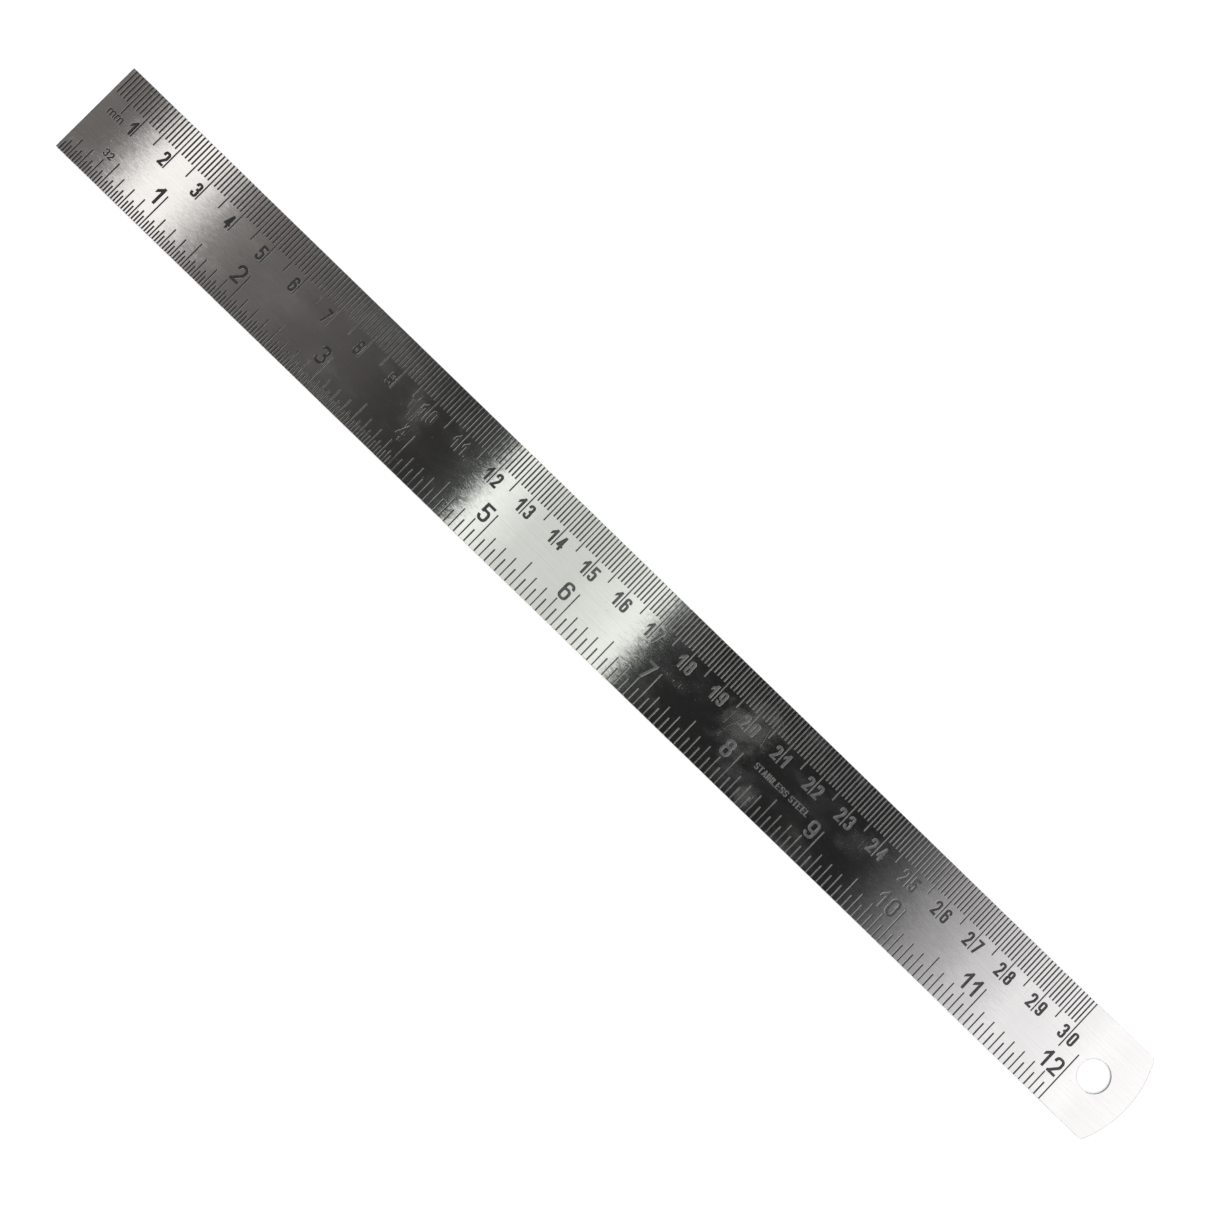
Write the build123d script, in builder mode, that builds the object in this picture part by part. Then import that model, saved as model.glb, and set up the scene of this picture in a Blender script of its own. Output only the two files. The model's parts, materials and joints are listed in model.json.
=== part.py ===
"""A 300 mm and 12 inch steel ruler.

One thin strip carries every line and figure as a shallow recess pressed into its face. Each recess
holds its own thin body of dark filler. Sizes are in millimetres. The strip lies flat on XY with its
back at z = 0, its readings grow along +X, and its millimetre edge is the one towards +Y. The origin
is at the middle of the back.
"""

import os

from build123d import *

os.makedirs("parts", exist_ok=True)

INCH = 25.4

# Blade
LENGTH = 321.0
WIDTH = 24.5
THICKNESS = 0.8
TAIL_RISE = 2.9  # how far the round tail stands out beyond its two corners
TAIL_CORNER_RADIUS = 0.8
HOLE_RADIUS = 4.0
HOLE_FROM_ZERO = 310.6

# Marks
RECESS_DEPTH = 0.12
FILLER_THICKNESS = 0.06
BOLD_LINE = 0.33  # width of the shortest lines on each scale
FINE_LINE = 0.27  # width of every longer line

# Millimetre scale. The punch that marks its second part has shorter half-centimetre lines.
SCALE_END = 300
MILLIMETRE_LENGTH = 6.55
HALF_CENTIMETRE_LENGTH = 9.4
HALF_CENTIMETRE_LENGTH_LATE = 8.75
LATE_PART_START = 130
CENTIMETRE_LENGTH = 11.6
LAST_CENTIMETRE_LENGTH = 12.9

# Inch scale. Thirty-seconds run to four inches, and sixteenths from there on.
INCHES = 12
FINE_INCHES = 4
LATE_EXTRA = 0.25  # every inch line past four inches is this much longer
THIRTY_SECOND_LENGTH = 2.4
SIXTEENTH_LENGTH = 3.3
EIGHTH_LENGTH = 5.2
HALF_INCH_LENGTH = 7.0
LAST_HALF_INCH_LENGTH = EIGHTH_LENGTH
INCH_LENGTH = 9.25
LAST_INCH_LENGTH = 13.4

# Figures: height, width, width of a figure one, stroke and the gap between two figures
CENTIMETRE_FIGURE = {"height": 3.55, "width": 1.62, "one": 1.3, "stroke": 0.58, "gap": 0.8}
INCH_FIGURE = {"height": 4.4, "width": 2.5, "one": 1.7, "stroke": 0.65, "gap": 1.05}
SMALL_FIGURE = {"height": 1.8, "width": 1.15, "one": 0.8, "stroke": 0.3, "gap": 0.2}
UNIT_LETTER = {"height": 1.55, "width": 1.95, "one": 1.0, "stroke": 0.28, "gap": 0.25}
SMALL_CAPITAL = {"height": 1.6, "width": 0.94, "one": 0.3, "stroke": 0.27, "gap": 0.26}

# Places of the figures, with heights counted from the inch edge. The inch figures are punched one at
# a time, and some drift along the blade from their usual place.
CENTIMETRE_FIGURE_BASE = 12.95
CENTIMETRE_PAIR_BASE = 13.07
CENTIMETRE_FIGURE_CLEARANCE = 0.24  # a single figure stands this far to the left of its line
CENTIMETRE_PAIR_CLEARANCE = 0.5  # a pair stands this far to each side of its line
INCH_FIGURE_BASE = 5.75
INCH_FIGURE_CLEARANCE = 0.95
INCH_FIGURE_DRIFT = {2: 0.2, 3: 0.5, 4: -0.3, 6: -0.35, 7: -0.4, 8: -0.9, 10: -0.2, 11: -0.2, 12: 0.3}
UNIT_LABEL_START = 2.45
UNIT_LABEL_BASE = 13.1
FRACTION_LABEL_START = 8.25
FRACTION_LABEL_BASE = 5.9
LEGEND_START = 207.0
LEGEND_BASE = 8.8
LEGEND = "STAINLESS STEEL"

ZERO_X = -LENGTH / 2
INCH_EDGE_Y = -WIDTH / 2
MILLIMETRE_EDGE_Y = WIDTH / 2
RECESS_FLOOR = THICKNESS - RECESS_DEPTH

# A character is drawn by a pen of the stroke's width. Its centre line runs in a box one unit wide
# and one unit high, and whatever a stroke draws beyond the character's outline is trimmed off.
# Each stroke is a rounding, as a share of the box's width, and the points it runs through.
BEND = 0.4
OVAL = 0.48
BEYOND = 2
STROKES = {
    "0": [(OVAL, [(0, 0), (1, 0), (1, 1), (0, 1), (0, 0)])],
    "1": [(0, [(1, -BEYOND), (1, BEYOND)]), (0, [(1, 0.98), (-1, 0.44)])],
    "2": [
        (BEND, [(0, 0.7), (0, 1), (1, 1), (1, 0.55), (-0.3, -0.165)]),
        (0, [(-BEYOND, 0), (BEYOND, 0)]),
    ],
    "3": [
        (BEND, [(0, 0.75), (0, 1), (0.95, 1), (0.95, 0.53), (0.35, 0.53)]),
        (BEND, [(0.35, 0.53), (1, 0.53), (1, 0), (0, 0), (0, 0.26)]),
    ],
    "4": [
        (0, [(0.74, -BEYOND), (0.74, BEYOND)]),
        (0, [(0.7, 1), (0, 0.27)]),
        (0, [(-BEYOND, 0.27), (BEYOND, 0.27)]),
    ],
    "5": [
        (0, [(0.08, 1), (BEYOND, 1)]),
        (0, [(0.1, BEYOND), (0, 0.45)]),
        (BEND, [(0, 0.6), (1, 0.6), (1, 0), (0, 0), (0, 0.25)]),
    ],
    "6": [
        (BEND, [(1, 0.76), (1, 1), (0, 1), (0, 0.3)]),
        (BEND, [(0, 0), (1, 0), (1, 0.6), (0, 0.6), (0, 0)]),
    ],
    "7": [(0, [(-BEYOND, 1), (BEYOND, 1)]), (0, [(1.3, 1.45), (-0.3, -0.85)])],
    "8": [
        (BEND, [(0.05, 0.54), (0.95, 0.54), (0.95, 1), (0.05, 1), (0.05, 0.54)]),
        (BEND, [(0, 0), (1, 0), (1, 0.54), (0, 0.54), (0, 0)]),
    ],
    "9": [
        (BEND, [(0, 0.24), (0, 0), (1, 0), (1, 0.7)]),
        (BEND, [(1, 1), (0, 1), (0, 0.4), (1, 0.4), (1, 1)]),
    ],
    "m": [
        (0, [(0, -BEYOND), (0, BEYOND)]),
        (BEND / 2, [(0, 0.4), (0, 1), (0.5, 1), (0.5, -BEYOND)]),
        (BEND / 2, [(0.5, 0.4), (0.5, 1), (1, 1), (1, -BEYOND)]),
    ],
    "A": [
        (0, [(-0.5, -1), (0.7, 1.4)]),
        (0, [(1.5, -1), (0.3, 1.4)]),
        (0, [(0.1, 0.28), (0.9, 0.28)]),
    ],
    "E": [
        (0, [(0, -BEYOND), (0, BEYOND)]),
        (0, [(-BEYOND, 0), (BEYOND, 0)]),
        (0, [(0, 0.52), (0.95, 0.52)]),
        (0, [(-BEYOND, 1), (BEYOND, 1)]),
    ],
    "I": [(0, [(0, -BEYOND), (0, BEYOND)])],
    "L": [(0, [(0, -BEYOND), (0, BEYOND)]), (0, [(-BEYOND, 0), (BEYOND, 0)])],
    "N": [
        (0, [(0, -BEYOND), (0, BEYOND)]),
        (0, [(-1, 2), (2, -1)]),
        (0, [(1, -BEYOND), (1, BEYOND)]),
    ],
    "S": [(BEND, [(1, 0.77), (1, 1), (0, 1), (0, 0.51), (1, 0.51), (1, 0), (0, 0), (0, 0.23)])],
    "T": [(0, [(-BEYOND, 1), (BEYOND, 1)]), (0, [(0.5, -BEYOND), (0.5, BEYOND)])],
}
NARROW = "1I"
drawn_characters = {}


def character_width(character, style):
    """Width of a character's outline."""
    return style["one"] if character in NARROW else style["width"]


def text_width(text, style):
    """Width of a whole word or number, where a space is as wide as a narrow letter."""
    widths = [style["one"] if c == " " else character_width(c, style) for c in text]
    return sum(widths) + style["gap"] * (len(text) - 1)


def draw_character(character, style):
    """One character's flat outline, with its lower left corner at the origin."""
    key = (character, style["height"])
    if key in drawn_characters:
        return drawn_characters[key]
    stroke = style["stroke"]
    width = character_width(character, style)
    height = style["height"]
    box_width = width - stroke
    box_height = height - stroke
    with BuildSketch(mode=Mode.PRIVATE) as outline:
        for rounding, points in STROKES[character]:
            places = [(stroke / 2 + x * box_width, stroke / 2 + y * box_height) for x, y in points]
            with BuildLine():
                if len(places) == 2:
                    Line(*places)
                else:
                    FilletPolyline(*places, radius=rounding * box_width)
            trace(line_width=stroke)
        with Locations((width / 2, height / 2)):
            Rectangle(width, height, mode=Mode.INTERSECT)
    drawn_characters[key] = outline.sketch
    return outline.sketch


def place_text(text, start, base, style):
    """Adds a word or number to the open sketch: start is its left end's reading from zero."""
    x = ZERO_X + start
    for character in text:
        if character == " ":
            x += style["one"] + style["gap"]
            continue
        with Locations((x, INCH_EDGE_Y + base)):
            add(draw_character(character, style))
        x += character_width(character, style) + style["gap"]


def place_line(reading, length, width, edge):
    """Adds one graduation to the open sketch, from its edge of the blade inwards."""
    inwards = -1 if edge > 0 else 1
    with Locations((ZERO_X + reading, edge + inwards * length / 2)):
        Rectangle(width, length)


def is_late(reading):
    """True past four inches, where the inch lines are longer."""
    return reading > FINE_INCHES * INCH


def inch_lines(denominator, length, width, readings):
    """A sketch of the inch scale's lines at whole numbers of one fraction of an inch."""
    with BuildSketch(mode=Mode.PRIVATE) as lines:
        for count in readings:
            reading = count * INCH / denominator
            extra = LATE_EXTRA if is_late(reading) else 0
            place_line(reading, length + extra, width, INCH_EDGE_Y)
    return lines.sketch


# The flat outline of each family of marks
with BuildSketch() as millimetre_outline:
    for reading in range(1, SCALE_END):
        if reading % 5:
            place_line(reading, MILLIMETRE_LENGTH, BOLD_LINE, MILLIMETRE_EDGE_Y)

with BuildSketch() as half_centimetre_outline:
    for reading in range(5, SCALE_END, 10):
        early = reading < LATE_PART_START
        length = HALF_CENTIMETRE_LENGTH if early else HALF_CENTIMETRE_LENGTH_LATE
        place_line(reading, length, FINE_LINE, MILLIMETRE_EDGE_Y)

with BuildSketch() as centimetre_outline:
    for reading in range(10, SCALE_END, 10):
        place_line(reading, CENTIMETRE_LENGTH, FINE_LINE, MILLIMETRE_EDGE_Y)
    place_line(SCALE_END, LAST_CENTIMETRE_LENGTH, FINE_LINE, MILLIMETRE_EDGE_Y)

with BuildSketch() as centimetre_numeral_outline:
    for number in range(1, SCALE_END // 10 + 1):
        figures = str(number)
        left = figures[0]
        one_figure = len(figures) == 1
        clearance = CENTIMETRE_FIGURE_CLEARANCE if one_figure else CENTIMETRE_PAIR_CLEARANCE
        clearance += FINE_LINE / 2
        base = CENTIMETRE_FIGURE_BASE if one_figure else CENTIMETRE_PAIR_BASE
        left_start = number * 10 - clearance - character_width(left, CENTIMETRE_FIGURE)
        place_text(left, left_start, base, CENTIMETRE_FIGURE)
        right_start = number * 10 + clearance
        place_text(figures[1:], right_start, base, CENTIMETRE_FIGURE)

with BuildSketch() as unit_label_outline:
    place_text("mm", UNIT_LABEL_START, UNIT_LABEL_BASE, UNIT_LETTER)

last_fine_count = FINE_INCHES * 32
thirty_second_outline = inch_lines(
    32, THIRTY_SECOND_LENGTH, BOLD_LINE, range(1, last_fine_count, 2)
)
sixteenth_outline = inch_lines(16, SIXTEENTH_LENGTH, BOLD_LINE, range(1, INCHES * 16, 2))
eighth_outline = inch_lines(8, EIGHTH_LENGTH, FINE_LINE, range(1, INCHES * 8, 2))
quarter_outline = inch_lines(4, EIGHTH_LENGTH, FINE_LINE, range(1, INCHES * 4, 2))

with BuildSketch() as half_outline:
    last_half_count = INCHES * 2 - 1
    add(inch_lines(2, HALF_INCH_LENGTH, FINE_LINE, range(1, last_half_count, 2)))
    add(inch_lines(2, LAST_HALF_INCH_LENGTH, FINE_LINE, [last_half_count]))

with BuildSketch() as inch_outline:
    add(inch_lines(1, INCH_LENGTH, FINE_LINE, range(1, INCHES)))
    place_line(INCHES * INCH, LAST_INCH_LENGTH, FINE_LINE, INCH_EDGE_Y)

with BuildSketch() as inch_numeral_outline:
    for number in range(1, INCHES + 1):
        figures = str(number)
        end = number * INCH - FINE_LINE / 2 - INCH_FIGURE_CLEARANCE
        end += INCH_FIGURE_DRIFT.get(number, 0)
        start = end - text_width(figures, INCH_FIGURE)
        place_text(figures, start, INCH_FIGURE_BASE, INCH_FIGURE)

with BuildSketch() as fraction_label_outline:
    place_text("32", FRACTION_LABEL_START, FRACTION_LABEL_BASE, SMALL_FIGURE)

with BuildSketch() as legend_outline:
    place_text(LEGEND, LEGEND_START, LEGEND_BASE, SMALL_CAPITAL)

MARKS = {
    "millimetre_lines": millimetre_outline.sketch,
    "half_centimetre_lines": half_centimetre_outline.sketch,
    "centimetre_lines": centimetre_outline.sketch,
    "centimetre_numerals": centimetre_numeral_outline.sketch,
    "millimetre_label": unit_label_outline.sketch,
    "thirty_second_inch_lines": thirty_second_outline,
    "sixteenth_inch_lines": sixteenth_outline,
    "eighth_inch_lines": eighth_outline,
    "quarter_inch_lines": quarter_outline,
    "half_inch_lines": half_outline.sketch,
    "inch_lines": inch_outline.sketch,
    "inch_numerals": inch_numeral_outline.sketch,
    "thirty_seconds_label": fraction_label_outline.sketch,
    "material_legend": legend_outline.sketch,
}


def on_recess_floor(outline):
    """A family's outline, raised from the back of the blade to the floor of the recesses."""
    return outline.moved(Location((0, 0, RECESS_FLOOR)))


# Blade: straight edges, a square zero end, and a tail that is one arc from edge to edge
with BuildPart() as blade:
    with BuildSketch():
        with BuildLine():
            shoulder_x = ZERO_X + LENGTH - TAIL_RISE
            lower_shoulder = (shoulder_x, INCH_EDGE_Y)
            upper_shoulder = (shoulder_x, MILLIMETRE_EDGE_Y)
            tail_point = (ZERO_X + LENGTH, 0)
            ThreePointArc(lower_shoulder, tail_point, upper_shoulder)
            zero_top = (ZERO_X, MILLIMETRE_EDGE_Y)
            zero_bottom = (ZERO_X, INCH_EDGE_Y)
            Polyline(upper_shoulder, zero_top, zero_bottom, lower_shoulder)
        outline = make_face()
        fillet(outline.vertices().group_by(Axis.X)[-1], TAIL_CORNER_RADIUS)
        with Locations((ZERO_X + HOLE_FROM_ZERO, 0)):
            Circle(HOLE_RADIUS, mode=Mode.SUBTRACT)
    extrude(amount=THICKNESS)
    for marks in MARKS.values():
        extrude(on_recess_floor(marks), amount=RECESS_DEPTH, mode=Mode.SUBTRACT)
blade.part.label = "blade"
export_step(blade.part, "parts/blade.step")

# Filler: one small body on the floor of each recess, a little below the face of the blade
for name, marks in MARKS.items():
    with BuildPart() as filler:
        extrude(on_recess_floor(marks), amount=FILLER_THICKNESS)
    filler.part.label = name
    export_step(filler.part, f"parts/{name}.step")
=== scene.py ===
"""Looks of the steel ruler: its blade, the dark filler in its marks, and the light they are seen in."""

import json
import math

import bmesh
import bpy
import numpy as np
from mathutils import Euler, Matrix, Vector, geometry
from mathutils.bvhtree import BVHTree


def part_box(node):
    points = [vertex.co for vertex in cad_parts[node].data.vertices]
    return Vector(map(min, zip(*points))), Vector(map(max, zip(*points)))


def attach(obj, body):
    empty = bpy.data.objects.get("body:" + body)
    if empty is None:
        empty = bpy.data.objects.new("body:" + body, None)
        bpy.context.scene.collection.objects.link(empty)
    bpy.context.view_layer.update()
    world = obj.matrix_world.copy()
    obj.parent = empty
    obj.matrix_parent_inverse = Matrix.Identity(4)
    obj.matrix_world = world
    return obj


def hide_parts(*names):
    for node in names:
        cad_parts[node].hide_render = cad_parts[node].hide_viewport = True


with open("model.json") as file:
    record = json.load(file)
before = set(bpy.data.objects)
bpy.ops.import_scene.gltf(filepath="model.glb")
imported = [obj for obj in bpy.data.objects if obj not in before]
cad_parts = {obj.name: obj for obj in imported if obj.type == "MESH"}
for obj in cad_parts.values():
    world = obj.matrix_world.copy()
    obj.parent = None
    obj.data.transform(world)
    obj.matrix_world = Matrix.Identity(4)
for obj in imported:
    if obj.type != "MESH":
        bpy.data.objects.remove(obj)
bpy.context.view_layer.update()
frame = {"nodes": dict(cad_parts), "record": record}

# Lengths in this script are millimetres until a mesh, light or camera is made from them
MM = 0.001

# What the CAD model gives
BLADE_LOW, BLADE_HIGH = (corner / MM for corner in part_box("blade"))
RECESS_FLOOR_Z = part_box("millimetre_lines")[0].z / MM
MARK_NODES = [name for name in sorted(frame["nodes"]) if name != "blade"]
HANG_HOLE = next(m for m in frame["record"]["mounts"] if m["name"] == "hang_hole")
HOLE_CENTRE = Vector(HANG_HOLE["pos_m"]) / MM
HOLE_RADIUS = HANG_HOLE["dims"]["r_mm"]
ZERO_X = BLADE_LOW.x
FACE_Z = BLADE_HIGH.z

# The blade's edges
TAIL_RISE = 2.9  # how far the round tail stands out beyond its two corners
TAIL_CORNER = 0.8
ZERO_CORNER = 0.15
RIM_WIDTH = 0.055  # beside every wall the face curves down over this width
RIM_DROP = 0.0039
RIM_RINGS = (0.5, 1.0)  # as parts of the rim's width
RIM_Z = FACE_Z - RIM_DROP  # the top of every wall
BACK_RIM_Z = BLADE_LOW.z + RIM_DROP
HOLE_STEPS = 120
TAIL_STEPS = 48
TAIL_CORNER_STEPS = 8
ZERO_CORNER_STEPS = 4

# The outlines of the marks
TOP_FACE_RISE = 0.9  # a CAD face whose normal rises by less than this isn't an upper face
EDGE_REACH = 0.01  # a line that comes this close to a long edge of the blade runs out through it
MARK_CORNER = 0.09  # how far a sharp corner of a figure is cut back to round it
MARK_CORNER_SHARE = 0.4  # and the greatest part of a side that is cut away for it
MARK_CORNER_MIDDLE = 0.22  # where the middle of that rounding lies, as a part of both cuts added up
SHARP_TURN = 0.6  # a turn of more than this, in radians, is a corner and not part of an arc
NO_TURN = 0.02  # a turn of less than this, in radians, is left out
LINE_CORNER = 0.06  # the rounding of a line's two inner corners
LINE_CORNER_MIDDLE = 0.3  # where the middle of that rounding lies, as a part of it

# The filling's upper face: a shallow V along each stroke, from the top of its walls down
FILL_EDGE_SLOPE = 0.135
FILL_MIDDLE_SLOPE = 0.1
FILL_RINGS = (0.45, 0.9)  # as parts of the half width of a stroke
FILL_SHARP_EDGE = math.radians(50)  # faces that meet at more than this are shaded as a hard edge


# ---------------------------------------------------------------- flat outlines


def chain(pairs):
    """Joins directed edges, given as start and end, into closed loops."""
    following = dict(pairs)
    loops = []
    while following:
        start, here = following.popitem()
        loop = [start]
        while here != start:
            loop.append(here)
            here = following.pop(here)
        loops.append(loop)
    return loops


def mark_shapes(node):
    """The flat outlines of a CAD node's bodies: for each a list of loops, with the body on their left."""
    mesh = bmesh.new()
    mesh.from_mesh(frame["nodes"][node].data)
    bmesh.ops.remove_doubles(mesh, verts=mesh.verts, dist=1e-7)
    hidden = [f for f in mesh.faces if f.normal.z < TOP_FACE_RISE]
    bmesh.ops.delete(mesh, geom=hidden, context="FACES")
    body_of = {}
    for seed in mesh.faces:
        if seed in body_of:
            continue
        body_of[seed] = seed
        front = [seed]
        while front:
            for edge in front.pop().edges:
                for face in edge.link_faces:
                    if face not in body_of:
                        body_of[face] = seed
                        front.append(face)
    rims = {}
    for edge in mesh.edges:
        if edge.is_boundary:
            corner = edge.link_loops[0]
            pair = (corner.vert, corner.link_loop_next.vert)
            rims.setdefault(body_of[corner.face], []).append(pair)
    shapes = [
        [[Vector((v.co.x / MM, v.co.y / MM)) for v in loop] for loop in chain(pairs)]
        for pairs in rims.values()
    ]
    mesh.free()
    shapes.sort(key=lambda shape: (round(shape[0][0].x, 3), round(shape[0][0].y, 3)))
    return shapes


def soften(loop):
    """Rounds the loop's sharp corners, and halves the turn at each joint of a rounded stretch."""
    softer = []
    for i, here in enumerate(loop):
        back = loop[i - 1] - here
        on = loop[(i + 1) % len(loop)] - here
        turn = math.pi - back.angle(on)
        if turn < NO_TURN:
            continue
        if turn < SHARP_TURN:
            softer += [here + back / 4, here + on / 4]
            continue
        start = back.normalized() * min(MARK_CORNER, back.length * MARK_CORNER_SHARE)
        end = on.normalized() * min(MARK_CORNER, on.length * MARK_CORNER_SHARE)
        softer += [here + start, here + (start + end) * MARK_CORNER_MIDDLE, here + end]
    return softer


def outset(loop, distance):
    """The loop moved to its right by a distance, with sharp corners kept from running far out."""
    moved = []
    for i, here in enumerate(loop):
        before = (here - loop[i - 1]).normalized()
        after = (loop[(i + 1) % len(loop)] - here).normalized()
        bisector = Vector((before.y + after.y, -before.x - after.x))
        spread = max(bisector.length_squared / 2, 0.5)
        moved.append(here + bisector * (distance / spread))
    return moved


def arc(centre, radius, start, end, steps):
    """Points along a circle from one angle to another, both included."""
    angles = [start + (end - start) * i / steps for i in range(steps + 1)]
    return [centre + Vector((math.cos(a), math.sin(a))) * radius for a in angles]


def fill(loops, inner_loops=()):
    """Fills the space on the left of the loops, with more loops of points inside it.
    Gives triangles as numbers of points, and the points: those of all the loops in order, then new ones."""
    points = [p for loop in (*loops, *inner_loops) for p in loop]
    edges = []
    for loop in (*loops, *inner_loops):
        first = len(edges)
        edges += [(first + i, first + (i + 1) % len(loop)) for i in range(len(loop))]
    wall_count = sum(len(loop) for loop in loops)
    flat, lines, triangles, point_from, line_from, _ = geometry.delaunay_2d_cdt(
        points, edges, [], 0, 1e-6, True
    )
    number_of = []
    for place, ids in zip(flat, point_from):
        number_of.append(min(ids) if ids else len(points))
        if not ids:
            points.append(place)
    wall_way = {}
    for line, ids in zip(lines, line_from):
        for number in ids:
            if number < wall_count:
                start, end = edges[number]
                wall_way[frozenset(line)] = points[end] - points[start]
    beside = {}
    inside = {}
    for number, (a, b, c) in enumerate(triangles):
        for start, end in ((a, b), (b, c), (c, a)):
            line = frozenset((start, end))
            beside.setdefault(line, []).append(number)
            if line in wall_way:
                inside[number] = (flat[end] - flat[start]).dot(wall_way[line]) > 0
    front = list(inside)
    while front:
        number = front.pop()
        a, b, c = triangles[number]
        for line in (frozenset((a, b)), frozenset((b, c)), frozenset((c, a))):
            for other in [] if line in wall_way else beside[line]:
                if other not in inside:
                    inside[other] = inside[number]
                    front.append(other)
    kept = [[number_of[i] for i in t] for n, t in enumerate(triangles) if inside.get(n)]
    return kept, points


def distance_to(points, loops):
    """How far each point is from the nearest side of the loops."""
    starts = np.array([p for loop in loops for p in loop])
    ends = np.array([loop[(i + 1) % len(loop)] for loop in loops for i in range(len(loop))])
    sides = ends - starts
    away = np.array(points)[:, None] - starts[None]
    along = (away * sides).sum(2) / np.maximum((sides**2).sum(1), 1e-12)
    nearest = away - np.clip(along, 0, 1)[..., None] * sides
    return np.sqrt((nearest**2).sum(2)).min(1)


def area_of(loop):
    """Signed area of a loop: positive when it runs anticlockwise."""
    return sum(a.cross(b) for a, b in zip(loop, loop[1:] + loop[:1])) / 2


# ---------------------------------------------------------------- meshes

FACE_SLOT, CUT_SLOT = 0, 1  # the blade's two materials: brushed faces, and sheared walls
CROSSWAYS = "crossways"  # the map whose first direction runs across the brushing
UV_SPAN = 400.0  # the length that the whole of that map stands for
UP = Vector((0, 0, 1))


class Shell:
    """Points and faces gathered in millimetres, then made into one object in metres."""

    def __init__(self):
        self.points = []
        self.faces = []
        self.slots = []
        self.normals = []

    def ring(self, loop, heights):
        """Adds a loop of points, at one height or at a height for each, and gives back their numbers."""
        if isinstance(heights, (int, float)):
            heights = [heights] * len(loop)
        first = len(self.points)
        self.points += [Vector((p.x, p.y, h)) for p, h in zip(loop, heights)]
        return list(range(first, len(self.points)))

    def face(self, corners, slot=0, normals=None):
        """Adds a face, with a normal at each corner where the shape's own smooth normals won't do."""
        if len(set(corners)) > 2:
            self.faces.append(corners)
            self.slots.append(slot)
            self.normals.append(normals)

    def strip(self, upper, lower, slot=0, out=None):
        """Closed band of faces between two rings, seen from the right of the way they run."""
        for i in range(len(upper)):
            j = (i + 1) % len(upper)
            normals = out and [out[i], out[j], out[j], out[i]]
            self.face([lower[i], lower[j], upper[j], upper[i]], slot, normals)

    def cover(self, loops, rings, slot=0, down=False, normal=None):
        """Fills the space on the left of the loops, whose points are the rings."""
        numbers = [n for ring in rings for n in ring]
        for triangle in fill(loops)[0]:
            corners = [numbers[i] for i in triangle]
            self.face(corners[::-1] if down else corners, slot, normal and [normal] * 3)

    def rounded_cover(self, loops, rings, z, side, slot=0):
        """Fills the space on the left of the loops with a flat face at height z that curves away beside
        the walls. The rings hold the loops' points. side is 1 for an upper face and -1 for a lower one."""
        inner = [outset(loop, -part * RIM_WIDTH) for part in RIM_RINGS for loop in loops]
        triangles, flat = fill(loops, inner)
        numbers = [n for ring in rings for n in ring]
        steepest = 2 * RIM_DROP / RIM_WIDTH
        leans = [out * steepest for loop in loops for out in outward(loop)]
        walls = wall_finder(loops)
        heights = []
        for place in flat[len(numbers) :]:
            on_wall, _, _, distance = walls.find_nearest(Vector((place.x, place.y, 0)))
            near = max(0.0, 1 - distance / RIM_WIDTH)
            out = (on_wall.xy - place).normalized().to_3d()
            leans.append(out * steepest * near)
            heights.append(z - side * RIM_DROP * near**2)
        numbers += self.ring(flat[len(numbers) :], heights)
        normals = [(lean + UP * side).normalized() for lean in leans]
        for triangle in triangles:
            way = triangle if side > 0 else triangle[::-1]
            self.face([numbers[i] for i in way], slot, [normals[i] for i in way])

    def make(self, name, materials):
        data = bpy.data.meshes.new(name)
        data.from_pydata([p * MM for p in self.points], [], self.faces)
        for material in materials:
            data.materials.append(material)
        data.polygons.foreach_set("material_index", self.slots)
        data.polygons.foreach_set("use_smooth", [True] * len(self.faces))
        data.update()
        if all(self.normals):
            data.normals_split_custom_set([n for normals in self.normals for n in normals])
        else:
            data.set_sharp_from_angle(angle=FILL_SHARP_EDGE)
        crossways = data.uv_layers.new(name=CROSSWAYS)
        for corner, spot in zip(data.loops, crossways.data):
            p = self.points[corner.vertex_index]
            spot.uv = ((p.y + p.z) / UV_SPAN, (p.x + p.z) / UV_SPAN)
        piece = bpy.data.objects.new(name, data)
        bpy.context.scene.collection.objects.link(piece)
        return piece


def wall_finder(loops):
    """A search tree that gives the nearest place on the loops' sides."""
    corners = []
    sides = []
    for loop in loops:
        first = len(corners)
        for p in loop:
            corners += [Vector((p.x, p.y, -1)), Vector((p.x, p.y, 1))]
        for i in range(len(loop)):
            here = first + 2 * i
            there = first + 2 * ((i + 1) % len(loop))
            sides.append((here, there, there + 1, here + 1))
    return BVHTree.FromPolygons(corners, sides)


def outward(loop):
    """The level direction away from the steel at each point of a loop that has the steel on its left."""
    return [(moved - here).normalized().to_3d() for here, moved in zip(loop, outset(loop, 1.0))]


def notch(shape):
    """The path round a line that reaches an edge: in from the edge, round its inner end and out again.
    It has the steel on its left."""
    xs = [p.x for p in shape[0]]
    ys = [p.y for p in shape[0]]
    if max(ys) > BLADE_HIGH.y - EDGE_REACH:
        edge, inner, first, last = BLADE_HIGH.y, min(ys), max(xs), min(xs)
    else:
        edge, inner, first, last = BLADE_LOW.y, max(ys), min(xs), max(xs)
    turn = math.copysign(LINE_CORNER, edge - inner)
    step = math.copysign(LINE_CORNER, last - first)
    middle_x = step * LINE_CORNER_MIDDLE
    middle_y = inner + turn * LINE_CORNER_MIDDLE
    return [
        Vector((first, edge)),
        Vector((first, inner + turn)),
        Vector((first + middle_x, middle_y)),
        Vector((first + step, inner)),
        Vector((last - step, inner)),
        Vector((last - middle_x, middle_y)),
        Vector((last, inner + turn)),
        Vector((last, edge)),
    ]


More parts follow.
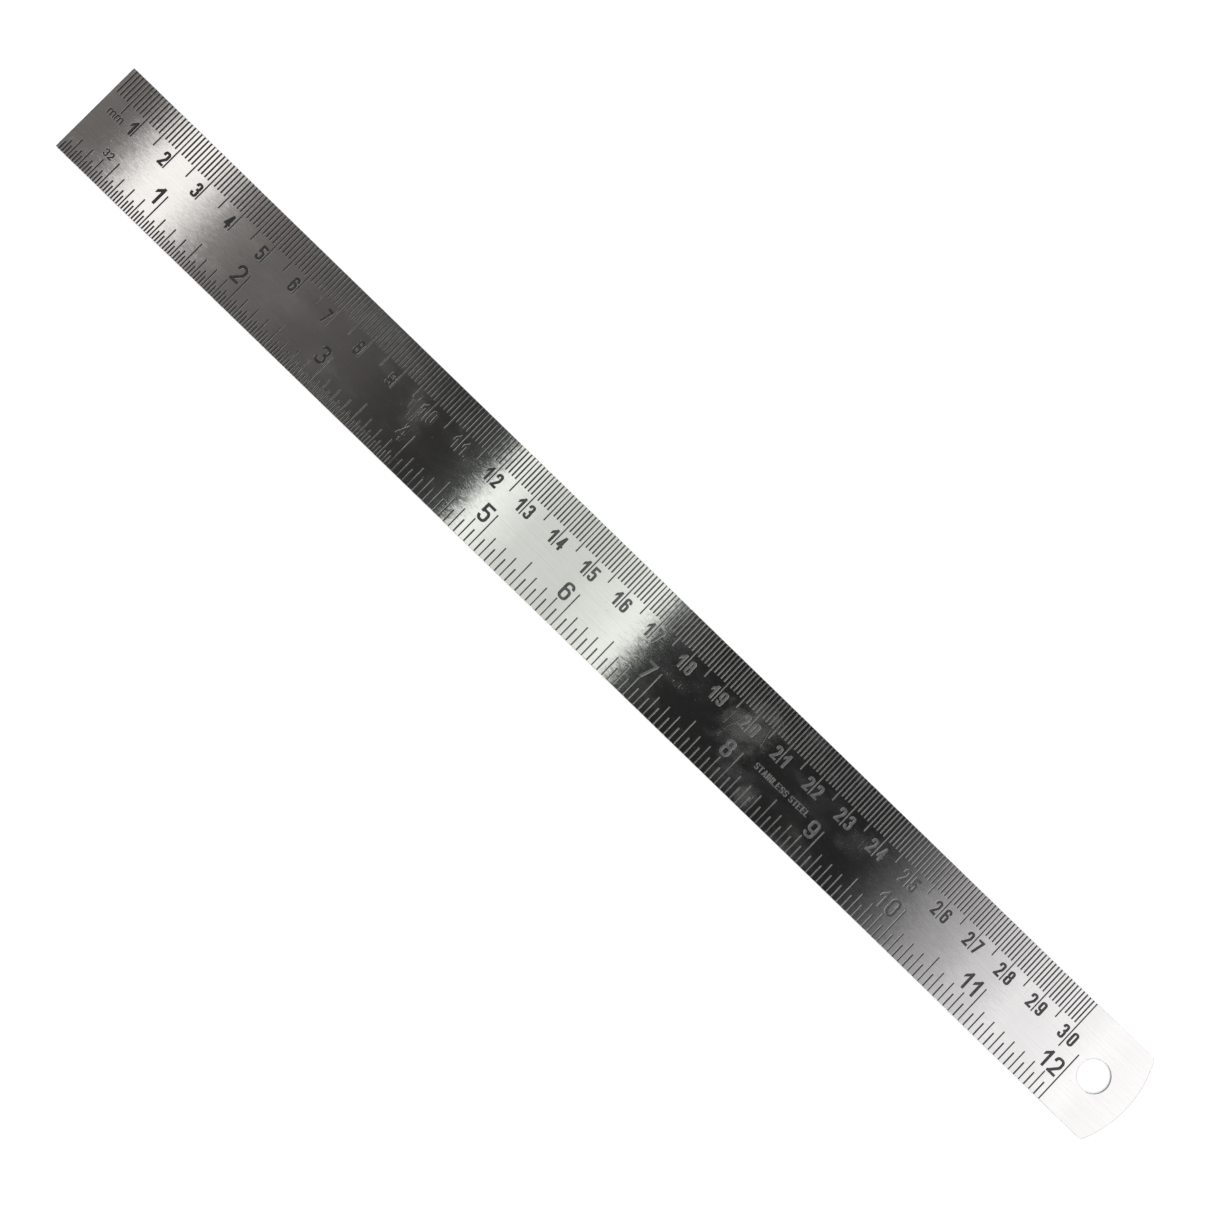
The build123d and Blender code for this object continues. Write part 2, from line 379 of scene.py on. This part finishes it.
def tail_path():
    """The tail's outline from its corner at the inch edge to its corner at the millimetre edge."""
    half = BLADE_HIGH.y
    bow = (half**2 + TAIL_RISE**2) / (2 * TAIL_RISE)
    centre = Vector((BLADE_HIGH.x - bow, 0))
    corner_y = half - TAIL_CORNER
    corner_x = centre.x + math.sqrt((bow - TAIL_CORNER) ** 2 - corner_y**2)
    lean = math.atan2(corner_y, corner_x - centre.x)
    lower = arc(Vector((corner_x, -corner_y)), TAIL_CORNER, -math.pi / 2, -lean, TAIL_CORNER_STEPS)
    upper = arc(Vector((corner_x, corner_y)), TAIL_CORNER, lean, math.pi / 2, TAIL_CORNER_STEPS)
    return lower[:-1] + arc(centre, bow, -lean, lean, TAIL_STEPS) + upper[1:]


def zero_corner(y):
    """A slightly rounded corner of the zero end."""
    side = math.copysign(1, y)
    centre = Vector((ZERO_X + ZERO_CORNER, y - side * ZERO_CORNER))
    start = math.pi / 2 if side > 0 else math.pi
    return arc(centre, ZERO_CORNER, start, start + math.pi / 2, ZERO_CORNER_STEPS)


def reaches_edge(shape):
    """True for a line that runs out through an edge of the blade."""
    ys = [p.y for p in shape[0]]
    return max(ys) > BLADE_HIGH.y - EDGE_REACH or min(ys) < BLADE_LOW.y + EDGE_REACH


def mark_loops(shape):
    """A mark's finished outline, with the mark on the left of each loop."""
    if reaches_edge(shape):
        return [notch(shape)[::-1]]
    return [soften(loop) for loop in shape]


def face_outline(all_shapes):
    """The outline of the face, with a notch for every line that reaches an edge. Also the numbers of the
    points that are left when the notches are filled up, and the range of numbers in each notch."""
    lines = [notch(shape) for shape in all_shapes if reaches_edge(shape)]
    lower = sorted((p for p in lines if p[0].y < 0), key=lambda p: p[0].x)
    upper = sorted((p for p in lines if p[0].y > 0), key=lambda p: -p[0].x)
    path = []
    plain = []
    spans = []
    for points in [zero_corner(BLADE_LOW.y), *lower, tail_path(), *upper, zero_corner(BLADE_HIGH.y)]:
        first = len(path)
        path += points
        if points in lines:
            spans.append(range(first, len(path)))
            plain += [first, len(path) - 1]
        else:
            plain += range(first, len(path))
    return path, plain, spans


def sink_figures(shell, shapes):
    """Walls and floors of the figures and letters, which lie inside the face. Gives the loops round them,
    with the steel on their left, and the rings of points at the top of their walls."""
    loops = []
    rings = []
    for shape in shapes:
        if reaches_edge(shape):
            continue
        floor_loops = mark_loops(shape)
        floor_rings = [shell.ring(p, RECESS_FLOOR_Z) for p in floor_loops]
        shell.cover(floor_loops, floor_rings, FACE_SLOT, normal=UP)
        for loop, floor in zip(floor_loops, floor_rings):
            rim = loop[::-1]
            top = shell.ring(rim, RIM_Z)
            shell.strip(top, floor[::-1], FACE_SLOT, outward(rim))
            loops.append(rim)
            rings.append(top)
    return loops, rings


def build_blade(all_shapes, materials):
    """The steel strip: rounded rims, sunk marks and a hang hole."""
    shell = Shell()
    path, plain, spans = face_outline(all_shapes)

    # Walls and floors of the lines that reach an edge, and the walls between them
    wall = shell.ring(path, RIM_Z)
    foot = shell.ring(path, RECESS_FLOOR_Z)
    shell.strip(wall, foot, CUT_SLOT, outward(path))
    for span in spans:
        shell.face([foot[i] for i in reversed(span)], FACE_SLOT, [UP] * len(span))

    # Straight sides below the notches, down to the back
    base = [path[i] for i in plain]
    base_foot = shell.ring(base, BACK_RIM_Z)
    shell.strip([foot[i] for i in plain], base_foot, CUT_SLOT, outward(base))

    # Hang hole, whose outline runs clockwise to keep the steel on its left
    hole = arc(HOLE_CENTRE.xy, HOLE_RADIUS, math.pi * 2, 0, HOLE_STEPS)[:-1]
    hole_top = shell.ring(hole, RIM_Z)
    hole_foot = shell.ring(hole, BACK_RIM_Z)
    shell.strip(hole_top, hole_foot, CUT_SLOT, outward(hole))
    shell.rounded_cover([base, hole], [base_foot, hole_foot], BLADE_LOW.z, -1, FACE_SLOT)

    figure_loops, figure_rings = sink_figures(shell, all_shapes)
    face_loops = [path, hole, *figure_loops]
    face_rings = [wall, hole_top, *figure_rings]
    shell.rounded_cover(face_loops, face_rings, FACE_Z, 1, FACE_SLOT)
    return shell.make("steel_blade", materials)


def build_filling(node, shapes, material):
    """The dark filling of one family of marks: in each mark a body with a shallow V for its upper face."""
    shell = Shell()
    for shape in shapes:
        loops = mark_loops(shape)
        around = sum((a - b).length for loop in loops for a, b in zip(loop, loop[1:] + loop[:1]))
        half_width = sum(area_of(loop) for loop in loops) / around
        inner = [outset(loop, -part * half_width) for part in FILL_RINGS for loop in loops]
        triangles, flat = fill(loops, inner)
        depth = np.minimum(distance_to(flat, loops), half_width)
        easing = (FILL_EDGE_SLOPE - FILL_MIDDLE_SLOPE) / (2 * half_width)
        heights = RIM_Z - FILL_EDGE_SLOPE * depth + easing * depth**2
        upper = shell.ring(flat, [float(h) for h in heights])
        for triangle in triangles:
            shell.face([upper[i] for i in triangle])
        floor = [shell.ring(loop, RECESS_FLOOR_Z) for loop in loops]
        done = 0
        for loop, base in zip(loops, floor):
            shell.strip(upper[done : done + len(loop)], base)
            done += len(loop)
        shell.cover(loops, floor, down=True)
    piece = shell.make(f"{node}_fill", [material])
    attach(piece, "root")
    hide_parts(node)


# ---------------------------------------------------------------- materials


NOISE_SHIFT = (1.0, 0.7, 1.3)  # how one unit of offset moves a noise, to give another patch of it


class Nodes:
    """Short calls for building a material's node tree."""

    def __init__(self, name):
        self.material = bpy.data.materials.new(name)
        self.material.use_nodes = True
        self.tree = self.material.node_tree
        self.shader = self.tree.nodes["Principled BSDF"]
        place = self.add("ShaderNodeTexCoord")
        self.place = self.add("ShaderNodeVectorMath", Vector=place.outputs["Object"])
        self.place.operation = "SCALE"
        self.place.inputs["Scale"].default_value = 1 / MM

    def add(self, kind, **inputs):
        node = self.tree.nodes.new(kind)
        for name, value in inputs.items():
            self.set(node.inputs[name.replace("_", " ")], value)
        return node

    def set(self, socket, value):
        if isinstance(value, bpy.types.NodeSocket):
            self.tree.links.new(value, socket)
        else:
            socket.default_value = value

    def stretched(self, scale, turn=0.0, offset=0.0):
        """Place on the object in millimetres, stretched by a scale along x, y and z."""
        mapping = self.add("ShaderNodeMapping", Vector=self.place.outputs["Vector"])
        mapping.inputs["Scale"].default_value = scale
        mapping.inputs["Rotation"].default_value = (0, 0, turn)
        mapping.inputs["Location"].default_value = [offset * part for part in NOISE_SHIFT]
        return mapping.outputs["Vector"]

    def noise(self, scale, turn=0.0, offset=0.0, detail=2.0, roughness=0.5, distortion=0.0):
        node = self.add("ShaderNodeTexNoise", Vector=self.stretched(scale, turn, offset))
        node.inputs["Scale"].default_value = 1.0
        node.inputs["Detail"].default_value = detail
        node.inputs["Roughness"].default_value = roughness
        node.inputs["Distortion"].default_value = distortion
        return node.outputs["Fac"]

    def math(self, operation, a, b=0.0, c=0.0, clamp=False):
        node = self.add("ShaderNodeMath")
        node.operation = operation
        node.use_clamp = clamp
        for socket, value in zip(node.inputs, (a, b, c)):
            self.set(socket, value)
        return node.outputs["Value"]

    def ramp(self, value, low, high, to_low=0.0, to_high=1.0):
        """Smooth change from one value to another as the input goes from low to high."""
        node = self.add("ShaderNodeMapRange")
        node.interpolation_type = "SMOOTHSTEP"
        for name, number in (("Value", value), ("From Min", low), ("From Max", high)):
            self.set(node.inputs[name], number)
        node.inputs["To Min"].default_value = to_low
        node.inputs["To Max"].default_value = to_high
        return node.outputs["Result"]

    def blend(self, amount, a, b):
        """Mixes two colours."""
        node = self.add("ShaderNodeMix")
        node.data_type = "RGBA"
        self.set(node.inputs["Factor"], amount)
        self.set(node.inputs[6], a)
        self.set(node.inputs[7], b)
        return node.outputs[2]

    def bump(self, height, distance_mm, normal=None):
        node = self.add("ShaderNodeBump", Height=height)
        node.inputs["Distance"].default_value = distance_mm * MM
        node.inputs["Strength"].default_value = 1.0
        if normal is not None:
            self.set(node.inputs["Normal"], normal)
        return node.outputs["Normal"]


RAGGEDNESS = 1.6  # how strongly its clouds eat into the outline of a finger mark


def finger_mark(n, x, y, reach_x, reach_y, turn, offset):
    """A cloudy patch on the face: 1 in its middle, fading out raggedly at its reach."""
    mapping = n.add("ShaderNodeMapping", Vector=n.place.outputs["Vector"])
    mapping.vector_type = "TEXTURE"
    mapping.inputs["Location"].default_value = (x, y, FACE_Z)
    mapping.inputs["Rotation"].default_value = (0, 0, turn)
    mapping.inputs["Scale"].default_value = (reach_x, reach_y, 100.0)
    away = n.add("ShaderNodeVectorMath", Vector=mapping.outputs["Vector"])
    away.operation = "LENGTH"
    cloud = n.noise((0.35, 0.5, 0.5), turn=turn, offset=offset, detail=5.0, roughness=0.6)
    ragged = n.math("MULTIPLY_ADD", cloud, RAGGEDNESS, n.math("ADD", away.outputs["Value"], -RAGGEDNESS / 2))
    return n.ramp(ragged, 0.1, 1.0, 1.0, 0.0)


# Where handling has left marks on the face: reading, height above the middle, reach along and across
# the blade, turn in radians and strength
FINGER_MARKS = (
    (97.5, 1.5, 4.5, 7.5, 0.25, 0.55),
    (200.0, 2.0, 8.0, 9.5, -0.35, 1.05),
    (210.0, -9.0, 3.5, 4.5, 0.1, 0.9),
    (237.0, 1.0, 9.0, 4.0, 0.5, 0.35),
    (62.0, -1.0, 12.0, 4.0, 0.1, 0.25),
)

STEEL_COLOURS = ((0.62, 0.615, 0.605, 1), (0.71, 0.705, 0.695, 1))
SPECK_COLOUR = (0.16, 0.15, 0.14, 1)
SPECK_COVER = 0.55

# How far smudges, scratches and specks make the clean metal act like a dull film
CLEAN_METAL = 0.997
SMUDGE_FILM = 0.055
SCRATCH_FILM = 0.06
SPECK_FILM = 0.08

# Roughness of the clean steel, and what smudges and the fine brushing add
STEEL_ROUGHNESS = 0.07
SMUDGE_ROUGHNESS = 0.03
BRUSH_ROUGHNESS = 0.02

# Depths of the brushing, the slow ripple of the rolled strip, and the pits and scratches
BRUSH_DEPTH = 0.0012
FINE_BRUSH_DEPTH = 0.0004
RIPPLE_DEPTH = 0.010
PIT_DEPTH = 0.004


def brushed_steel():
    """Stainless steel brushed along the blade, with finger marks, specks and stray scratches."""
    n = Nodes("brushed_stainless")
    brush = n.noise((0.09, 8.0, 8.0), detail=3.0, roughness=0.65)
    ripple = n.noise((0.3, 1.7, 1.7), offset=17.0, detail=2.0)
    fine_brush = n.noise((0.5, 26.0, 26.0), offset=31.0, detail=1.0)
    streak = n.noise((0.13, 0.02, 0.1), offset=3.0, detail=3.0, roughness=0.6)
    smudge = n.ramp(n.noise((0.07, 0.14, 0.1), offset=12.0, detail=5.0, roughness=0.6), 0.5, 0.9)
    for number, (reading, y, reach_x, reach_y, turn, strength) in enumerate(FINGER_MARKS):
        mark = finger_mark(n, ZERO_X + reading, y, reach_x, reach_y, turn, 60.0 + number)
        smudge = n.math("MAXIMUM", smudge, n.math("MULTIPLY", mark, strength))
    speck = n.ramp(n.noise((1.9, 2.3, 2.3), offset=5.0, detail=1.0), 0.78, 0.84)
    scratch_line = n.noise((0.3, 0.05, 0.1), turn=-0.2, offset=47.0, detail=0.0, distortion=1.0)
    off_line = n.math("ABSOLUTE", n.math("SUBTRACT", scratch_line, 0.5))
    scratch = n.math("MULTIPLY", n.ramp(off_line, 0.0015, 0.004, 1.0, 0.0), n.ramp(smudge, 0.1, 0.5))
    grain = n.math("MULTIPLY_ADD", n.ramp(brush, 0.3, 0.7), 0.6, n.math("MULTIPLY", streak, 0.5))
    colour = n.blend(grain, *STEEL_COLOURS)
    colour = n.blend(n.math("MULTIPLY", speck, SPECK_COVER), colour, SPECK_COLOUR)
    n.set(n.shader.inputs["Base Color"], colour)
    n.shader.inputs["Anisotropic"].default_value = 1.0
    n.shader.inputs["IOR"].default_value = 1.5
    film = n.math("ADD", n.math("MULTIPLY", smudge, SMUDGE_FILM), n.math("MULTIPLY", scratch, SCRATCH_FILM))
    film = n.math("ADD", film, n.math("MULTIPLY", speck, SPECK_FILM))
    metal = n.math("SUBTRACT", CLEAN_METAL, film, clamp=True)
    n.set(n.shader.inputs["Metallic"], metal)
    rough = n.math("ADD", STEEL_ROUGHNESS, n.math("MULTIPLY", smudge, SMUDGE_ROUGHNESS))
    rough = n.math("ADD", rough, n.math("MULTIPLY", fine_brush, BRUSH_ROUGHNESS))
    n.set(n.shader.inputs["Roughness"], rough)
    normal = n.bump(brush, BRUSH_DEPTH)
    normal = n.bump(fine_brush, FINE_BRUSH_DEPTH, normal=normal)
    normal = n.bump(ripple, RIPPLE_DEPTH, normal=normal)
    pitting = n.math("MAXIMUM", speck, n.math("MULTIPLY", scratch, 0.4))
    normal = n.bump(n.math("SUBTRACT", 0.0, pitting), PIT_DEPTH, normal=normal)
    n.set(n.shader.inputs["Normal"], normal)
    tangent = n.add("ShaderNodeTangent")
    tangent.direction_type = "UV_MAP"
    tangent.uv_map = CROSSWAYS
    n.set(n.shader.inputs["Tangent"], tangent.outputs["Tangent"])
    return n.material


def cut_steel():
    """The sheared edges of the strip and the punched wall of the hole: darker and rougher than the face."""
    n = Nodes("sheared_steel")
    tear = n.noise((6.0, 6.0, 1.2), detail=3.0, roughness=0.6)
    band = n.noise((0.6, 0.6, 7.0), offset=9.0)
    n.set(n.shader.inputs["Base Color"], n.blend(tear, (0.16, 0.155, 0.15, 1), (0.34, 0.33, 0.32, 1)))
    n.shader.inputs["Metallic"].default_value = 1.0
    n.set(n.shader.inputs["Roughness"], n.ramp(band, 0.2, 0.8, 0.34, 0.58))
    n.set(n.shader.inputs["Normal"], n.bump(tear, 0.01))
    return n.material


# Painted light: the readings between which the filler's colour is painted paler, from black to grey, for the
# light the marks catch there, and those between which that painted light fades again
PAINTED_LIGHT_RISE = (100.0, 188.0)
PAINTED_LIGHT_FADE = (238.0, 264.0)
TAIL_PAINTED_LIGHT = 0.25  # the part of the painted light that is left near the tail
# The filler's own colours, and the paler colours that are painted light where the marks catch light
PLAIN_FILLER_COLOURS = ((0.009, 0.009, 0.0095, 1), (0.020, 0.0195, 0.019, 1))
PAINTED_LIT_FILLER_COLOURS = ((0.040, 0.040, 0.040, 1), (0.060, 0.059, 0.058, 1))
FILLER_ROUGHNESS = (0.24, 0.36)
FILLER_IOR = (1.6, 2.0)  # of the plain filler, and of the filler where light is painted on, which also paints on a stronger sheen


def dark_filler():
    """Charcoal filler in the marks: nearly black at the zero end, with light painted on past the middle to
    make it paler.
    """
    n = Nodes("dark_filler")
    along = n.add("ShaderNodeSeparateXYZ", Vector=n.place.outputs["Vector"]).outputs["X"]
    # Painted light: the filler is made paler, with a stronger sheen, according to its place along the blade
    painted_light_up = n.ramp(along, *[ZERO_X + reading for reading in PAINTED_LIGHT_RISE])
    kept = n.ramp(along, *[ZERO_X + reading for reading in PAINTED_LIGHT_FADE], 1.0, TAIL_PAINTED_LIGHT)
    painted_light_share = n.math("MULTIPLY", painted_light_up, kept)
    grain = n.noise((5.0, 5.0, 5.0), detail=2.0)
    blotch = n.ramp(n.noise((0.9, 0.9, 0.9), offset=21.0, detail=3.0), 0.35, 0.75)
    plain_colour = n.blend(blotch, *PLAIN_FILLER_COLOURS)
    painted_lit_colour = n.blend(blotch, *PAINTED_LIT_FILLER_COLOURS)
    # Mixes in the painted light by reading along the blade
    n.set(n.shader.inputs["Base Color"], n.blend(painted_light_share, plain_colour, painted_lit_colour))
    n.set(n.shader.inputs["Roughness"], n.ramp(grain, 0.25, 0.75, *FILLER_ROUGHNESS))
    n.set(n.shader.inputs["IOR"], n.ramp(painted_light_share, 0.0, 1.0, *FILLER_IOR))
    n.set(n.shader.inputs["Normal"], n.bump(grain, 0.006))
    return n.material


def floor_material():
    n = Nodes("white_floor")
    tone = n.noise((0.004, 0.004, 0.004), detail=2.0)
    n.set(n.shader.inputs["Base Color"], n.blend(tone, (0.90, 0.90, 0.90, 1), (0.93, 0.93, 0.93, 1)))
    n.shader.inputs["Roughness"].default_value = 0.9
    return n.material


# ---------------------------------------------------------------- the object

steel = brushed_steel()
sheared = cut_steel()
filler = dark_filler()

shapes_of = {node: mark_shapes(node) for node in MARK_NODES}
every_shape = [shape for node in MARK_NODES for shape in shapes_of[node]]
blade = build_blade(every_shape, [steel, sheared])
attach(blade, "root")
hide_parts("blade")
for node in MARK_NODES:
    build_filling(node, shapes_of[node], filler)

# ---------------------------------------------------------------- stage, light and camera

CAMERA_PLACE = Vector((-10.82, -28.14, 450.8))
CAMERA_TURN = (1.73, -3.26, 44.06)
CAMERA_LENS = 59.93


FLOOR_HALF_WIDTH = 6.0  # metres, as are the next two
FLOOR_GAP = 0.00002
CAMERA_RANGE = (0.01, 50)


def build_floor():
    data = bpy.data.meshes.new("floor")
    half = FLOOR_HALF_WIDTH
    corners = [(-half, -half, 0), (half, -half, 0), (half, half, 0), (-half, half, 0)]
    data.from_pydata(corners, [], [(0, 1, 2, 3)])
    data.materials.append(floor_material())
    floor = bpy.data.objects.new("floor", data)
    bpy.context.scene.collection.objects.link(floor)
    floor.location.z = -FLOOR_GAP


def build_camera():
    data = bpy.data.cameras.new("camera")
    data.lens = CAMERA_LENS
    data.sensor_width = 36
    data.clip_start, data.clip_end = CAMERA_RANGE
    camera = bpy.data.objects.new("camera", data)
    camera.location = CAMERA_PLACE * MM
    camera.rotation_euler = Euler([math.radians(a) for a in CAMERA_TURN])
    bpy.context.scene.collection.objects.link(camera)
    bpy.context.scene.camera = camera


CARD_HEIGHT = CAMERA_PLACE.z
CARD_HALF_WIDTH = 700.0
CLOUD_GRAIN = (0.045, 0.003, 0.003)  # each card is faintly clouded, in bands across the blade
CLOUD_LEVELS = (0.86, 1.14)

# Each light card: the readings on the ruler between which the camera sees it, how softly each end
# fades in millimetres of the ruler, its brightness and its tint
CARDS = {
    "zero_end_card": (14.3, 32.8, 4.2, 6.8, 0.93, (1.0, 0.985, 0.97)),
    "zero_end_glow_card": (11.5, 38.0, 8.0, 12.0, 0.30, (1.0, 0.95, 0.92)),
    "left_fill_card": (-8.0, 76.0, 5.0, 48.0, 0.165, (1.0, 0.93, 0.90)),
    "middle_card": (119.5, 169.6, 0.8, 0.8, 0.78, (0.97, 1.0, 0.945)),
    "middle_left_card": (119.9, 127.0, 1.0, 7.0, 0.50, (0.98, 1.0, 0.95)),
    "middle_right_card": (156.0, 169.3, 10.0, 1.0, 0.34, (0.97, 1.0, 0.93)),
    "middle_halo_card": (116.0, 171.0, 11.0, 11.0, 0.10, (0.90, 1.0, 0.96)),
    "tail_card": (266.0, 330.0, 28.0, 6.0, 1.14, (1.0, 0.985, 1.0)),
    "tail_glow_card": (303.0, 330.0, 24.0, 6.0, 0.50, (1.0, 0.99, 1.0)),
}


def mirrored_x(reading):
    """Where a light at card height stands so that the camera sees it reflected at a reading."""
    return 2 * (ZERO_X + reading) - CAMERA_PLACE.x


def build_card(name, level, start, end, fade_start, fade_end, brightness, tint):
    """A soft light overhead, seen only in reflections, bright in its middle and faded at both ends.
    Cards overlap, so each has a level of its own."""
    low = mirrored_x(start - fade_start)
    high = mirrored_x(end + fade_end)
    data = bpy.data.meshes.new(name)
    w = CARD_HALF_WIDTH
    z = CARD_HEIGHT + level
    corners = [(low, -w, z), (high, -w, z), (high, w, z), (low, w, z)]
    data.from_pydata([Vector(c) * MM for c in corners], [], [(0, 3, 2, 1)])
    card = bpy.data.objects.new(name, data)
    bpy.context.scene.collection.objects.link(card)
    n = Nodes(name)
    parts = n.add("ShaderNodeSeparateXYZ", Vector=n.place.outputs["Vector"])
    x = parts.outputs["X"]
    rise = n.ramp(x, low, mirrored_x(start + fade_start))
    fall = n.ramp(x, mirrored_x(end - fade_end), high, 1.0, 0.0)
    cloud = n.ramp(n.noise(CLOUD_GRAIN, offset=3.0 * level), 0.3, 0.7, *CLOUD_LEVELS)
    strength = n.math("MULTIPLY", n.math("MULTIPLY", rise, fall), n.math("MULTIPLY", cloud, brightness))
    light = n.add("ShaderNodeEmission", Color=(*tint, 1))
    n.set(light.inputs["Strength"], strength)
    clear = n.add("ShaderNodeBsdfTransparent")
    both = n.add("ShaderNodeAddShader")
    n.tree.links.new(light.outputs[0], both.inputs[0])
    n.tree.links.new(clear.outputs[0], both.inputs[1])
    n.tree.links.new(both.outputs[0], n.tree.nodes["Material Output"].inputs["Surface"])
    n.tree.nodes.remove(n.shader)
    data.materials.append(n.material)
    card.visible_camera = False
    card.visible_diffuse = False
    card.visible_shadow = False
    card.visible_transmission = False


WHITE_LEVEL = (1.6, 1.6, 1.6, 1)

# The dim room that the steel reflects: its grey at each height, from level at 0 to overhead at 1
ROOM_GREYS = ((0.0, 0.8), (0.5, 0.16), (0.85, 0.014))


def build_world():
    """White all round for the floor, and a dim room above for the steel to reflect."""
    world = bpy.data.worlds.new("studio")
    bpy.context.scene.world = world
    world.use_nodes = True
    tree = world.node_tree
    background = tree.nodes["Background"]
    place = tree.nodes.new("ShaderNodeTexCoord")
    parts = tree.nodes.new("ShaderNodeSeparateXYZ")
    tree.links.new(place.outputs["Generated"], parts.inputs[0])
    ramp = tree.nodes.new("ShaderNodeValToRGB")
    tree.links.new(parts.outputs["Z"], ramp.inputs[0])
    stops = ramp.color_ramp.elements
    stops.remove(stops[1])
    for number, (position, grey) in enumerate(ROOM_GREYS):
        stop = stops.new(position) if number else stops[0]
        stop.color = (grey, grey, grey, 1)
    rays = tree.nodes.new("ShaderNodeLightPath")
    mix = tree.nodes.new("ShaderNodeMix")
    mix.data_type = "RGBA"
    tree.links.new(rays.outputs["Is Glossy Ray"], mix.inputs["Factor"])
    mix.inputs[6].default_value = WHITE_LEVEL
    tree.links.new(ramp.outputs[0], mix.inputs[7])
    tree.links.new(mix.outputs[2], background.inputs["Color"])


build_floor()
build_camera()
build_world()
for level, (card_name, settings) in enumerate(CARDS.items()):
    build_card(card_name, level, *settings)
bpy.context.scene.view_settings.view_transform = "Standard"
